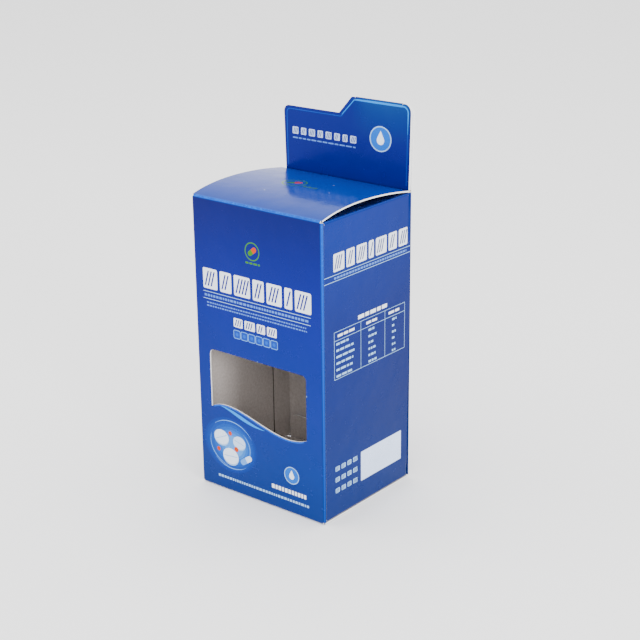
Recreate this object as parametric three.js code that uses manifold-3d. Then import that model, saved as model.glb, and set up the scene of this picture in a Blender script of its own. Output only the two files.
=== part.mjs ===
// A folding carton for tablets, empty and closed: a windowed body with a tall header at the back,
// and two tuck-in closures that hinge on the front panel, one on top and one underneath.
// Millimetres, +Z up. The origin is the centre of the underside, and the front panel faces -Y.

import * as THREE from 'three';
import { mergeVertices } from 'three/addons/utils/BufferGeometryUtils.js';
import Module from 'manifold-3d';

// Body, outside sizes
const body_width = 70;
const body_depth = 60;
const body_height = 132;

// Board and its folds
const board = 0.6;
const crease_radius = 1; // outside of a fold
const glue_bond = 0.02; // how far two glued plies press into each other
const running_gap = 0.3; // between a closure and the plies beside it
const cut_setback = 0.4; // left panel's raw edge, short of the back face

// Glue flap, on the inside of the left panel
const glue_flap_width = 12;
const glue_flap_taper = 1.5;
const glue_flap_end_gap = 0.7; // above and below the dust flaps' folds

// Closures: the panel that covers an end, and the flap that tucks in behind it
const closure_inset = 0.4; // each side of the panel
const tuck_depth = 14;
const tuck_side_gap = 0.7; // beside the glue flap
const tuck_taper = 1.2;
const tuck_corner_radius = 5;
const slit_length = 6;
const slit_width = 0.35;

// The top panel is sprung upwards, steeper at the front
const top_rise = THREE.MathUtils.degToRad(16);
const top_fall = THREE.MathUtils.degToRad(9.5);
const bow_front_handle = 15;
const bow_rear_handle = 20.5;

// Dust flaps, on the side panels
const dust_flap_length = 24;
const dust_flap_dip = THREE.MathUtils.degToRad(4);
const dust_flap_front_gap = 0.8; // behind the front panel
const dust_flap_tuck_gap = 0.9; // in front of the tuck flap
const dust_flap_straight = 4;
const dust_flap_skew = 4.5;
const dust_flap_corner = 9;
const dust_flap_radius = 3;

// Header: the back panel carried up, with a front ply folded down over it
const header_height = 35.6;
const header_low_height = 27.9;
const header_lean = THREE.MathUtils.degToRad(2);
const header_margin = 1; // the rear ply shows this much beside the front ply
const header_left_inset = 0.5;
const header_left_taper = 1.6;
const header_left_ply_step = 0.2;
const header_step_low_x = -3.6;
const header_step_high_x = 3.1;
const header_left_radius = 2.7;
const header_right_radius = 3.4;
const header_step_radius = 1.2;
const header_root_lap = 0.2; // into the corners of the body
const front_ply_reach = 12; // below the lid, glued inside the back panel
const fold_start_x = 5;
const fold_end_x = 29.6;

// Window, cut out of the front panel
const window_left = -27.8;
const window_right = 25.7;
const window_top = 64.8;
const window_left_radius = 2.6;
const window_right_radius = 2.2;
const sill_left = 38;
const sill_right = 36.2;
const sill_crest = new THREE.Vector2(-14.1, 46.7);
const sill_trough = new THREE.Vector2(9.4, 27.2);

// Facets
const arc_steps = 6; // in an arc of a fold or corner
const bow_steps = 16;
const outline_steps = 12; // in a curve of the window or the fold on the header

const left = -body_width / 2;
const right = body_width / 2;
const front = -body_depth / 2;
const back = body_depth / 2;
const quarter = Math.PI / 2;
const eighth = Math.PI / 4;

// The side panels stop lower than the front one, because the closures lie on top of their folds
const side_recess = board + running_gap;
const side_top = body_height - side_recess;
const wall_straight = back - crease_radius;
const cutter_margin = 2;

const wasm = await Module();
wasm.setup();

// Solids

function solidOf(geometry) {
  const bare = geometry.clone();
  bare.deleteAttribute('normal');
  bare.deleteAttribute('uv');
  const merged = mergeVertices(bare, 1e-5);
  const vertProperties = new Float32Array(merged.attributes.position.array);
  const triVerts = new Uint32Array(merged.index.array);
  return new wasm.Manifold(new wasm.Mesh({ numProp: 3, vertProperties, triVerts }));
}

function geometryOf(solid) {
  const { vertProperties, triVerts } = solid.getMesh();
  const geometry = new THREE.BufferGeometry();
  geometry.setAttribute('position', new THREE.BufferAttribute(new Float32Array(vertProperties), 3));
  geometry.setIndex(new THREE.BufferAttribute(new Uint32Array(triVerts), 1));
  const faceted = geometry.toNonIndexed();
  faceted.computeVertexNormals();
  return faceted;
}

const x_axis = new THREE.Vector3(1, 0, 0);
const y_axis = new THREE.Vector3(0, 1, 0);
const z_axis = new THREE.Vector3(0, 0, 1);
const section_yz = new THREE.Matrix4().makeBasis(y_axis, z_axis, x_axis);
const section_xz = new THREE.Matrix4().makeBasis(x_axis, z_axis, y_axis.clone().negate());

function extruded(shape, start, end) {
  const options = { depth: end - start, bevelEnabled: false, curveSegments: outline_steps };
  return new THREE.ExtrudeGeometry(shape, options).translate(0, 0, start);
}

// A section drawn in X and Y, Y and Z or X and Z, carried along the third axis
const alongZ = (shape, start, end) => solidOf(extruded(shape, start, end));
const alongX = (shape, start, end) => solidOf(extruded(shape, start, end).applyMatrix4(section_yz));
const alongY = (shape, start, end) => solidOf(extruded(shape, -end, -start).applyMatrix4(section_xz));

function joinSolids(solids) {
  return solids.reduce((whole, solid) => whole.add(solid));
}

// Folded board: a line along its outside face, and its section, which lies to the left of the line

const point = (x, y) => new THREE.Vector2(x, y);
const heading = (angle) => point(Math.cos(angle), Math.sin(angle));
const mirrored = (line) => line.map((p) => point(-p.x, p.y));

function arc(x, y, radius, from, to) {
  return new THREE.EllipseCurve(x, y, radius, radius, from, to, to < from).getPoints(arc_steps);
}

function joinLines(...lines) {
  return lines.flat().filter((p, i, all) => i === 0 || p.distanceTo(all[i - 1]) > 1e-6);
}

function leftNormal(from, to) {
  return point(from.y - to.y, to.x - from.x).normalize();
}

function offsetLine(line, distance) {
  return line.map((p, i) => {
    const before = i > 0 ? leftNormal(line[i - 1], p) : leftNormal(p, line[1]);
    const after = i < line.length - 1 ? leftNormal(p, line[i + 1]) : before;
    const mean = before.clone().add(after).normalize();
    return p.clone().addScaledVector(mean, distance / mean.dot(before));
  });
}

function boardSection(line, outside = 0, inside = board) {
  return new THREE.Shape([...offsetLine(line, outside), ...offsetLine(line, inside).reverse()]);
}

// An outline through corners given as [across, up, radius]
function filleted(corners) {
  const points = corners.map(([across, up, radius = 0], i) => {
    const here = point(across, up);
    if (radius === 0) return [here];
    const [px, py] = corners[(i + corners.length - 1) % corners.length];
    const [nx, ny] = corners[(i + 1) % corners.length];
    const toPrevious = point(px, py).sub(here).normalize();
    const toNext = point(nx, ny).sub(here).normalize();
    const half = Math.acos(toPrevious.dot(toNext)) / 2;
    const middle = toPrevious.clone().add(toNext).normalize();
    const centre = here.clone().addScaledVector(middle, radius / Math.sin(half));
    const start = here.clone().addScaledVector(toPrevious, radius / Math.tan(half)).sub(centre);
    const end = here.clone().addScaledVector(toNext, radius / Math.tan(half)).sub(centre);
    const clockwise = toPrevious.cross(toNext) > 0;
    return new THREE.EllipseCurve(
      centre.x, centre.y, radius, radius, start.angle(), end.angle(), clockwise,
    ).getPoints(arc_steps);
  });
  return new THREE.Shape(joinLines(...points));
}

// Body: the left, front, right and back panels, wrapped round in one strip

function wrap() {
  const r = crease_radius;
  const strip = joinLines(
    [point(left, back - cut_setback)],
    arc(left + r, front + r, r, 2 * quarter, 3 * quarter),
    arc(right - r, front + r, r, 3 * quarter, 4 * quarter),
    arc(right - r, back - r, r, 0, quarter),
    [point(left + board + r, back)],
  );
  const seam_x = left + board - glue_bond;
  const seam_fold = joinLines(
    [point(seam_x + 3 * r, back)],
    arc(seam_x + r, back - r, r, quarter, 2 * quarter),
    [point(seam_x, back - 1.5 * r)],
  );
  return alongZ(boardSection(strip), side_recess, side_top)
    .add(alongZ(boardSection(seam_fold), side_recess, side_top));
}

function glueFlap() {
  const low = side_recess + crease_radius + glue_flap_end_gap;
  const high = body_height - low;
  const outline = new THREE.Shape([
    point(wall_straight, low),
    point(wall_straight, high),
    point(back - glue_flap_width, high - glue_flap_taper),
    point(back - glue_flap_width, low + glue_flap_taper),
  ]);
  const outer_x = left + board - glue_bond;
  return alongX(outline, outer_x, outer_x + board);
}

// The front panel's folds at its top and bottom stop half way round, where the closures start
function frontPanel() {
  const r = crease_radius;
  const line = joinLines(
    arc(front + r, body_height - r, r, 3 * eighth, 4 * eighth),
    arc(front + r, r, r, 4 * eighth, 5 * eighth),
  );
  return alongX(boardSection(line), left + r, right - r);
}

function windowCutter() {
  const shape = new THREE.Shape();
  shape.moveTo(window_left, sill_left);
  shape.bezierCurveTo(sill_crest.x, sill_crest.y, sill_trough.x, sill_trough.y, window_right, sill_right);
  const right_centre = window_right - window_right_radius;
  const left_centre = window_left + window_left_radius;
  shape.lineTo(window_right, window_top - window_right_radius);
  shape.absarc(right_centre, window_top - window_right_radius, window_right_radius, 0, quarter);
  shape.lineTo(left_centre, window_top);
  shape.absarc(left_centre, window_top - window_left_radius, window_left_radius, quarter, 2 * quarter);
  return alongY(shape, front - cutter_margin, front + board + cutter_margin);
}

// Side panels: each carries a dust flap at its top and bottom, dipping into the box

const top_reach = body_depth - 2 * board - running_gap;
const bottom_reach = body_depth - board - running_gap;
const dust_front = front + board + dust_flap_front_gap;
const dust_rear = front + top_reach - board - dust_flap_tuck_gap;

function dustFlapOutline(side) {
  const tip = dust_flap_length;
  const corners = [
    [-cutter_margin, dust_front],
    [dust_flap_straight, dust_front],
    [tip, dust_front + dust_flap_skew, dust_flap_radius],
    [tip, dust_rear - dust_flap_corner, dust_flap_radius],
    [tip - dust_flap_corner, dust_rear, dust_flap_radius],
    [-cutter_margin, dust_rear],
  ];
  return filleted(corners.map(([inwards, y, radius]) => [side * (right - inwards), y, radius]));
}

function sidePanel(side) {
  const r = crease_radius;
  const crest = body_height - side_recess;
  const lower = arc(right - r, side_recess + r, r, -quarter - dust_flap_dip, 0);
  const upper = arc(right - r, crest - r, r, 0, quarter + dust_flap_dip);
  const flat = dust_flap_length - r;
  const lower_tip = lower[0].clone().addScaledVector(heading(2 * quarter - dust_flap_dip), flat);
  const upper_tip = upper.at(-1).clone().addScaledVector(heading(2 * quarter + dust_flap_dip), flat);
  const line = joinLines([lower_tip], lower, upper, [upper_tip]);
  const section = side > 0 ? boardSection(line) : new THREE.Shape(mirrored(boardSection(line).getPoints()));
  const strip = alongY(section, dust_front, dust_rear);
  return strip.intersect(alongZ(dustFlapOutline(side), -cutter_margin, body_height));
}

// Room for the dust flaps' folds in the ends of the wrapped strip
function sideCutters() {
  const fold_height = side_recess + crease_radius;
  const size = [2 * cutter_margin, dust_rear - dust_front, 2 * fold_height];
  return [left, right].flatMap((x) => [0, body_height].map((z) => {
    const block = new THREE.BoxGeometry(...size).translate(x, (dust_front + dust_rear) / 2, z);
    return solidOf(block);
  }));
}

// Header

function backLine() {
  const up = heading(quarter - header_lean).multiplyScalar(header_height);
  return [point(back, 0), point(back, body_height), point(back + up.x, body_height + up.y)];
}

function headerEdge(left_foot, left_head, right_x, right_radius) {
  const top = body_height + header_height;
  const low = body_height + header_low_height;
  return [
    [right_x, top, right_radius],
    [header_step_high_x, top, header_step_radius],
    [header_step_low_x, low, header_step_radius / 2],
    [left_head, low, header_left_radius],
    [left_foot, body_height],
  ];
}

function rearPly() {
  const foot = left + board + crease_radius;
  const head = left + header_left_inset + header_left_ply_step;
  const outline = filleted([
    [foot, 0],
    [right - crease_radius, 0],
    [right - crease_radius, side_top - header_root_lap],
    [right, side_top - header_root_lap],
    ...headerEdge(head + header_left_taper, head, right, header_right_radius + header_margin),
    [foot, side_top],
  ]);
  return alongX(boardSection(backLine()), left, right)
    .intersect(alongY(outline, front, back + header_height));
}

function frontPly() {
  const head = left + header_left_inset;
  const right_x = right - header_margin;
  const foot = body_height - front_ply_reach;
  const outline = filleted([
    [head + header_left_taper, foot],
    [right_x, foot],
    ...headerEdge(head + header_left_taper, head, right_x, header_right_radius),
  ]);
  return alongX(boardSection(backLine(), board - glue_bond, 2 * board), left, right)
    .intersect(alongY(outline, front, back + header_height));
}

// The fold that joins the two plies rounds over the middle of the header's top edge
function topFold(plies) {
  const [, root, tip] = backLine();
  const up = tip.clone().sub(root).normalize();
  const forward = leftNormal(root, tip);
  const centre = tip.clone().addScaledVector(up, -board).addScaledVector(forward, board);
  const cut_line = [centre.clone().addScaledVector(forward, -board), tip.clone().add(up)];
  const cutter = alongX(boardSection(cut_line, -board, 3 * board), fold_start_x, fold_end_x);
  const length = fold_end_x - fold_start_x;
  const roll = new THREE.CylinderGeometry(board, board, length, 2 * outline_steps);
  roll.rotateZ(quarter).translate((fold_start_x + fold_end_x) / 2, centre.x, centre.y);
  return plies.subtract(cutter).add(solidOf(roll));
}

// The clearance between the front panel's fold and a closure's, along the bisector of the corner
function hingeCutter(z, direction) {
  const depth = 1.2 * crease_radius;
  const slab = new THREE.BoxGeometry(body_width + cutter_margin, 2 * depth, running_gap);
  slab.rotateX(-direction * eighth).translate(0, front, z);
  return solidOf(slab);
}

function cartonSolid() {
  const header = topFold(rearPly().add(frontPly()));
  const shell = joinSolids([wrap(), glueFlap(), frontPanel()]);
  const sides = sideCutters().reduce((solid, cutter) => solid.subtract(cutter), shell);
  return joinSolids([sides, header, sidePanel(1), sidePanel(-1)])
    .subtract(windowCutter())
    .subtract(hingeCutter(body_height, 1))
    .subtract(hingeCutter(0, -1));
}

// Closure, hinged along the front at its own z = 0: from the tuck flap's tip up round the rear
// crease, over the panel and down to the hinge. The flap leans in, so that it swings clear of the
// back panel on its way out.

function closureLine(reach, rise, fall, front_handle, rear_handle) {
  const r = crease_radius;
  const lean = Math.asin(tuck_depth / (2 * reach)) + Math.atan(r / reach);
  const rear_fold = arc(front + reach - r, -r, r, -lean, quarter - fall);
  const front_fold = arc(front + r, -r, r, quarter + rise, 3 * eighth);
  const rear_end = rear_fold.at(-1);
  const front_end = front_fold[0];
  const panel = new THREE.CubicBezierCurve(
    rear_end,
    rear_end.clone().addScaledVector(heading(2 * quarter - fall), rear_handle),
    front_end.clone().addScaledVector(heading(rise), front_handle),
    front_end,
  );
  const tip = rear_fold[0].clone().addScaledVector(heading(-quarter - lean), tuck_depth - r);
  return joinLines([tip], rear_fold, panel.getPoints(bow_steps), front_fold);
}

// Seen from the front: the panel at its full width, and below its shoulders the narrower tuck flap
function closureEnvelope(tip) {
  const panel_side = right - closure_inset;
  const tuck_side = right - 2 * board - tuck_side_gap;
  const half = [
    [tuck_side - tuck_taper, tip, tuck_corner_radius],
    [tuck_side, -board],
    [panel_side, -board],
    [panel_side, body_depth],
  ];
  const other_half = half.map(([x, z, radius]) => [-x, z, radius]).reverse();
  const panel = filleted([
    [-panel_side, -body_depth],
    [panel_side, -body_depth],
    [panel_side, body_depth],
    [-panel_side, body_depth],
  ]);
  return alongY(filleted([...half, ...other_half]), 0, back)
    .add(alongY(panel, front - cutter_margin, cutter_margin));
}

function closureSolid(reach, rise, fall, front_handle, rear_handle) {
  const line = closureLine(reach, rise, fall, front_handle, rear_handle);
  const strip = alongX(boardSection(line), left, right);
  const trimmed = strip.intersect(closureEnvelope(line[0].y));
  return slitCutters(reach)
    .reduce((solid, cutter) => solid.subtract(cutter), trimmed)
    .subtract(hingeCutter(0, 1));
}

// The slits that lock on the dust flaps, cut into both ends of the rear crease
function slitCutters(reach) {
  const depth = 2 * crease_radius;
  const panel_side = right - closure_inset;
  return [-1, 1].map((side) => {
    const slab = new THREE.BoxGeometry(2 * slit_length, depth, slit_width);
    slab.translate(0, depth / 2, 0).rotateX(eighth);
    slab.translate(side * panel_side, front + reach - crease_radius, -crease_radius);
    return solidOf(slab);
  });
}

function piece(name, solid, colour) {
  const material = new THREE.MeshStandardMaterial({ color: colour, roughness: 0.38, metalness: 0.25 });
  const mesh = new THREE.Mesh(geometryOf(solid), material);
  mesh.name = name;
  return mesh;
}

const blue = 0x2456a8;
const deep_blue = 0x1c4a9c;

const part = new THREE.Group();
part.add(piece('carton', cartonSolid(), blue));

const top_lid = piece(
  'top_lid',
  closureSolid(top_reach, top_rise, top_fall, bow_front_handle, bow_rear_handle),
  deep_blue,
);
top_lid.position.z = body_height;
part.add(top_lid);

// The bottom closure is the same form, flat and upside down, against one ply of the back panel
const flat_handle = bottom_reach / 3;
const bottom_lid = piece('bottom_lid', closureSolid(bottom_reach, 0, 0, flat_handle, flat_handle), deep_blue);
bottom_lid.rotation.y = Math.PI;
part.add(bottom_lid);

export default part;
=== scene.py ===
"""A windowed folding carton for tablets, empty and closed: a body with a tall header at the back and a
tuck-in closure at each end, printed in satin blue, on a plain pale floor.

Each piece of board is laid out flat as its blank (u across, v up, millimetres), cut into triangles
along its creases, cut edges and print, and then folded up by a function of u, v and depth.
"""

import math
import random

import bpy
import numpy as np
from mathutils import Matrix, Vector
from mathutils.geometry import delaunay_2d_cdt


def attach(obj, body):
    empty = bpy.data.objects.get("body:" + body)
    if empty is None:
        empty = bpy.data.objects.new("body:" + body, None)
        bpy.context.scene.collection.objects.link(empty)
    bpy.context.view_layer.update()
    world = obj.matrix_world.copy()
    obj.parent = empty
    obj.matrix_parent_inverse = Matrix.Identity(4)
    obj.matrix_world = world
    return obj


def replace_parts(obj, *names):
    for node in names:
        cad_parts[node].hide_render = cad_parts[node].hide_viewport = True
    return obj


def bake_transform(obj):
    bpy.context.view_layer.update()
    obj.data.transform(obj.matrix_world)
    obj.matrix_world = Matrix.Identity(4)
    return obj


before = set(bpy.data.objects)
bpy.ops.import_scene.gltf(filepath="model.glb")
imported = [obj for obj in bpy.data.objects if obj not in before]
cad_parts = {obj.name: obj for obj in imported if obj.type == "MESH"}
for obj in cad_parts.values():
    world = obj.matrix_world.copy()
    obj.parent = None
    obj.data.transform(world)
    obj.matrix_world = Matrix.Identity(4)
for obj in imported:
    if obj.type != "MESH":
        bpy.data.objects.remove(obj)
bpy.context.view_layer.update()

MM = 0.001
QUARTER = math.pi / 2
rng = random.Random(11)

# Carton, outside sizes, board and folds
HALF_WIDTH, HALF_DEPTH, HEIGHT = 35.0, 30.0, 132.0
BOARD = 0.6
FOLD = 1.0
SIDE_TOP = 131.1
LEFT_RAW_EDGE = 29.6
SEAM_X = -34.42
GLUE_FLAP_END = 18.0
GLUE_FLAP_BEVEL = (2.6, 4.1)
ARC_STEPS = 6
SUPPORT = 0.35  # a crease's wear and painted highlight fade out over this much
# How much wear and painted highlight the folds get: most on the front's top fold, little on folds out of sight
TOP_WEAR_AND_HIGHLIGHT, HIDDEN_WEAR_AND_HIGHLIGHT = 1.5, 0.45
NEAR, ROUNDING = 1e-3, 0.01  # the triangulation rounds places to single precision

# Header
HEADER_LEAN = math.radians(2.0)
HEADER_FOLD = 35.0
HEADER_TOP, HEADER_LOW = HEIGHT + 35.6, HEIGHT + 27.9
ROLL = BOARD
FOLDED_X = (5.0, 29.6)
FRONT_PLY_FOOT = 120.0

# Where each panel starts and ends along the blank
CORNER = FOLD * QUARTER
LEFT_END = LEFT_RAW_EDGE + HALF_DEPTH - FOLD
FRONT_START = LEFT_END + CORNER
FRONT_END = FRONT_START + 2 * (HALF_WIDTH - FOLD)
RIGHT_START = FRONT_END + CORNER
RIGHT_END = RIGHT_START + 2 * (HALF_DEPTH - FOLD)
BACK_START = RIGHT_END + CORNER
BACK_END = BACK_START + HALF_WIDTH - 2 * FOLD - SEAM_X
SEAM_END = BACK_END + CORNER
FLAP_END = SEAM_END + HALF_DEPTH - FOLD - GLUE_FLAP_END

# Dust flaps
DUST_FRONT, DUST_REAR, DUST_LENGTH = -28.6, 27.0, 24.0
DUST_TURN = math.radians(94.0)
DUST_START = SIDE_TOP - FOLD
SLIT = 0.12

# The front panel's folds stop here, where the curved strips towards the closures take over
CREASE_FROM, CREASE_TO = math.radians(22.0), math.radians(68.0)
CREASE_START = HEIGHT - FOLD + FOLD * CREASE_FROM

# Window, without its wavy lower edge
WINDOW_LEFT, WINDOW_RIGHT, WINDOW_TOP = -27.8, 25.7, 64.8


def middle_u(x):
    """Blank position of a point on the front panel."""
    return FRONT_START + HALF_WIDTH - FOLD + x


def side_u(y):
    return RIGHT_START + HALF_DEPTH - FOLD + y


def back_u(x):
    return BACK_START + HALF_WIDTH - FOLD - x


def left_u(y):
    return LEFT_RAW_EDGE - y


def matches(a, b):
    return abs(a - b) < NEAR


def on_front(u):
    return FRONT_START - ROUNDING < u < FRONT_END + ROUNDING


ROLL_START = HEIGHT + HEADER_FOLD
ROLL_END = ROLL_START + math.pi * ROLL


def ply_v(z):
    """Blank position of a height on the header's front ply."""
    return ROLL_END + ROLL_START - z


# Outlines


def filleted(corners, steps=ARC_STEPS):
    """An outline through corners given as (across, up, radius)."""
    outline = []
    for i, corner in enumerate(corners):
        here = Vector(corner[:2])
        radius = corner[2] if len(corner) > 2 else 0
        if radius == 0:
            outline.append(tuple(here))
            continue
        before = (Vector(corners[i - 1][:2]) - here).normalized()
        after = (Vector(corners[(i + 1) % len(corners)][:2]) - here).normalized()
        half = math.acos(max(-1, min(1, before.dot(after)))) / 2
        centre = here + (before + after).normalized() * radius / math.sin(half)
        start = here + before * radius / math.tan(half) - centre
        turn = start.angle_signed(here + after * radius / math.tan(half) - centre)
        for k in range(steps + 1):
            spoke = start.copy()
            spoke.rotate(Matrix.Rotation(-turn * k / steps, 2))
            outline.append(tuple(centre + spoke))
    return outline


def rounded(x0, z0, x1, z1, radius=0.0):
    return filleted([(x0, z0, radius), (x1, z0, radius), (x1, z1, radius), (x0, z1, radius)], 4)


def disc(x, z, radius, squeeze=1.0, steps=32, start=0.0, end=2 * math.pi):
    """A circle, or its arc from start to end. squeeze flattens it."""
    span = end - start
    count = steps if span > 2 * math.pi - ROUNDING else steps + 1
    angles = (start + span * k / steps for k in range(count))
    return [(x + radius * math.cos(a), z + radius * squeeze * math.sin(a)) for a in angles]


def turned(points, x, z, angle):
    """Points turned about the origin, then moved."""
    c, s = math.cos(angle), math.sin(angle)
    return [(x + c * px - s * pz, z + s * px + c * pz) for px, pz in points]


def stroke(points, widths):
    """A line of the given width, or widths, as an outline."""
    points = [Vector(p) for p in points]
    if not hasattr(widths, "__len__"):
        widths = [widths] * len(points)
    ahead, behind = [], []
    for i, p in enumerate(points):
        along = (points[min(i + 1, len(points) - 1)] - points[max(i - 1, 0)]).normalized()
        across = Vector((-along.y, along.x)) * widths[i] / 2
        ahead.append(tuple(p + across))
        behind.append(tuple(p - across))
    return ahead + behind[::-1]


def bezier(p0, p1, p2, p3, steps=24):
    p0, p1, p2, p3 = (Vector(p) for p in (p0, p1, p2, p3))
    return [
        tuple(p0 * (1 - t) ** 3 + p1 * 3 * t * (1 - t) ** 2 + p2 * 3 * t * t * (1 - t) + p3 * t**3)
        for t in (k / steps for k in range(steps + 1))
    ]


def dust_flap(place, top):
    """A dust flap's cut edge from its rear end to its front end; place turns depth along the side into u."""
    lift = math.sin(DUST_TURN - QUARTER)

    def reach(inwards):
        flat = (inwards - FOLD - FOLD * lift) / math.sin(DUST_TURN)
        v = DUST_START + FOLD * DUST_TURN + flat
        return v if top else HEIGHT - v

    corners = [
        (place(DUST_REAR), DUST_START if top else HEIGHT - DUST_START),
        (place(DUST_REAR), reach(DUST_LENGTH - 9), 3),
        (place(DUST_REAR - 9), reach(DUST_LENGTH), 3),
        (place(DUST_FRONT + 4.5), reach(DUST_LENGTH), 3),
        (place(DUST_FRONT), reach(4)),
        (place(DUST_FRONT), DUST_START if top else HEIGHT - DUST_START),
    ]
    return filleted(corners)


def wall_end(top):
    """The blank's top or bottom edge from its left end up to the back panel, with increasing u."""
    edge = SIDE_TOP if top else HEIGHT - SIDE_TOP
    notch = DUST_START if top else HEIGHT - DUST_START
    front_end = CREASE_START if top else HEIGHT - CREASE_START
    line = [(0, edge)]
    for place in (left_u, side_u):
        flap = dust_flap(place, top)
        if flap[0][0] > flap[-1][0]:
            flap.reverse()
        first, last = flap[0][0] - SLIT, flap[-1][0] + SLIT
        line += [(first, edge), (first, notch), *flap, (last, notch), (last, edge)]
        if place is left_u:
            line += [(FRONT_START, edge), (FRONT_START, front_end), (FRONT_END, front_end), (FRONT_END, edge)]
    return line + [(BACK_START, edge)]


def header_corners(left_foot, left_head, right_x, right_radius):
    """A header ply's corners from its upper right, down its step, to its lower left."""
    return [
        (right_x, HEADER_TOP, right_radius),
        (3.1, HEADER_TOP, 1.2),
        (-3.6, HEADER_LOW, 0.6),
        (left_head, HEADER_LOW, 2.7),
        (left_foot, HEIGHT),
    ]


def header_outline():
    """The header's cut edges, rear ply, fold and front ply, from its right root round to its left root."""
    root = SIDE_TOP + 0.2
    rear = filleted([(-33.4, SIDE_TOP), (34, root), (35, root), *header_corners(-32.7, -34.3, 35, 4.4)])
    ply = filleted([(-32.9, FRONT_PLY_FOOT), (34, FRONT_PLY_FOOT), *header_corners(-32.9, -34.5, 34, 3.4)])
    rear, ply = ([(back_u(x), z) for x, z in line] for line in (rear, ply))
    ply = [(u, ply_v(z)) for u, z in ply]
    low, high = back_u(FOLDED_X[1]), back_u(FOLDED_X[0])
    rear_top, ply_top = HEADER_TOP, ply_v(HEADER_TOP)

    def split(line, top):
        on_top = [i for i, (u, v) in enumerate(line) if matches(v, top)]
        first = max(i for i in on_top if line[i][0] < low + 0.5)
        return line[1 : first + 1], line[first + 1 :]

    rear_right, rear_left = split(rear, rear_top)
    ply_right, ply_left = split(ply, ply_top)
    ply_foot = [(back_u(-32.9), ply_v(FRONT_PLY_FOOT))]
    right_notch = [(low - SLIT, rear_top), (low - SLIT, ROLL_START), (low, ROLL_START)]
    right_notch_ply = [(low, ROLL_END), (low - SLIT, ROLL_END), (low - SLIT, ply_top)]
    left_notch_ply = [(high + SLIT, ply_top), (high + SLIT, ROLL_END), (high, ROLL_END)]
    left_notch = [(high, ROLL_START), (high + SLIT, ROLL_START), (high + SLIT, rear_top)]
    return [
        *rear_right, *right_notch, *right_notch_ply, *ply_right[::-1],
        *ply_foot, *ply_left[::-1], *left_notch_ply, *left_notch, *rear_left,
    ]


def carton_outline():
    seam_lip = SEAM_END + 0.5
    foot, slope = GLUE_FLAP_BEVEL
    end = [
        (BACK_START, 0), (BACK_END, 0), (BACK_END, HEIGHT - SIDE_TOP), (seam_lip, HEIGHT - SIDE_TOP),
        (seam_lip, foot), (FLAP_END, slope), (FLAP_END, HEIGHT - slope), (seam_lip, HEIGHT - foot),
        (seam_lip, SIDE_TOP), (BACK_END, SIDE_TOP),
    ]
    return [*wall_end(False), *end, *header_outline()[::-1], *wall_end(True)[::-1]]


SILL = bezier((WINDOW_LEFT, 38), (-14.1, 46.7), (9.4, 27.2), (WINDOW_RIGHT, 36.2), 32)


def window_outline():
    top = filleted([
        (WINDOW_RIGHT, 38), (WINDOW_RIGHT, WINDOW_TOP, 2.2),
        (WINDOW_LEFT, WINDOW_TOP, 2.6), (WINDOW_LEFT, 40),
    ])[1:-1]
    return [(middle_u(x), z) for x, z in [*SILL, *top]]


# Folding


def turn_in(v, start, angle):
    """Offset outwards, height and direction of a wall that folds inwards above start."""
    if v <= start:
        return 0.0, v, 1.0, 0.0
    a = min((v - start) / FOLD, angle)
    rest = v - start - FOLD * a
    out = -FOLD * (1 - math.cos(a)) - rest * math.sin(a)
    return out, start + FOLD * math.sin(a) + rest * math.cos(a), math.cos(a), math.sin(a)


def wrap(u):
    """Point on the outside of the walls, and the direction outwards."""
    r, w, d = FOLD, HALF_WIDTH, HALF_DEPTH
    if u <= LEFT_END:
        return -w, LEFT_RAW_EDGE - u, -1.0, 0.0
    if u < FRONT_START:
        a = (u - LEFT_END) / r
        return r - w - r * math.cos(a), r - d - r * math.sin(a), -math.cos(a), -math.sin(a)
    if u <= FRONT_END:
        return r - w + u - FRONT_START, -d, 0.0, -1.0
    if u < RIGHT_START:
        a = (u - FRONT_END) / r
        return w - r + r * math.sin(a), r - d - r * math.cos(a), math.sin(a), -math.cos(a)
    if u <= RIGHT_END:
        return w, r - d + u - RIGHT_START, 1.0, 0.0
    if u < BACK_START:
        a = (u - RIGHT_END) / r
        return w - r + r * math.cos(a), d - r + r * math.sin(a), math.cos(a), math.sin(a)
    if u <= BACK_END:
        return w - r - u + BACK_START, d, 0.0, 1.0
    if u < SEAM_END:
        a = (u - BACK_END) / r
        return SEAM_X + r - r * math.sin(a), d - r + r * math.cos(a), -math.sin(a), math.cos(a)
    return SEAM_X, d - r - u + SEAM_END, -1.0, 0.0


def swell(u, v, start, end, depth, seed):
    """How far a panel's middle stands back, in gentle waves."""
    s, t = (u - start) / (end - start), v / HEIGHT
    if not (0 < s < 1 and 0 < t < 1):
        return 0.0
    hold = (math.sin(math.pi * s) * math.sin(math.pi * t)) ** 0.5
    wave = 0.5 + 0.25 * math.sin(5.1 * s + 2.3 * t + seed) + 0.25 * math.sin(3.7 * t - 2.9 * s + 2 * seed)
    return depth * hold * wave


def carton_fold(u, v, depth):
    """Where a point of the carton's blank ends up, depth being its distance into the board."""
    if v > SIDE_TOP + 0.1 and u > RIGHT_END:
        return header_fold(u, v, depth)
    x, y, nx, ny = wrap(u)
    out, z, c, s = 0.0, v, 1.0, 0.0
    lower = v < HEIGHT / 2
    height = HEIGHT - v if lower else v
    if FRONT_START <= u <= FRONT_END:
        out, z, c, s = turn_in(height, HEIGHT - FOLD, QUARTER)
        out -= swell(u, v, FRONT_START, FRONT_END, 0.22, 1.0)
    elif RIGHT_START <= u <= RIGHT_END or u <= LEFT_END:
        out, z, c, s = turn_in(height, DUST_START, DUST_TURN)
        if u > LEFT_END:
            out -= swell(u, v, RIGHT_START, RIGHT_END, 0.22, 2.4)
        else:
            out -= swell(u, v, 13.0, LEFT_END, 0.15, 0.3)
    elif BACK_START <= u <= BACK_END:
        out -= swell(u, v * 1.1, BACK_START, BACK_END, 0.15, 4.0)
    if lower and (c, s) != (1.0, 0.0):
        z, s = HEIGHT - z, -s
    elif lower:
        z = v
    return x + nx * (out - c * depth), y + ny * (out - c * depth), z - s * depth


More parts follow.
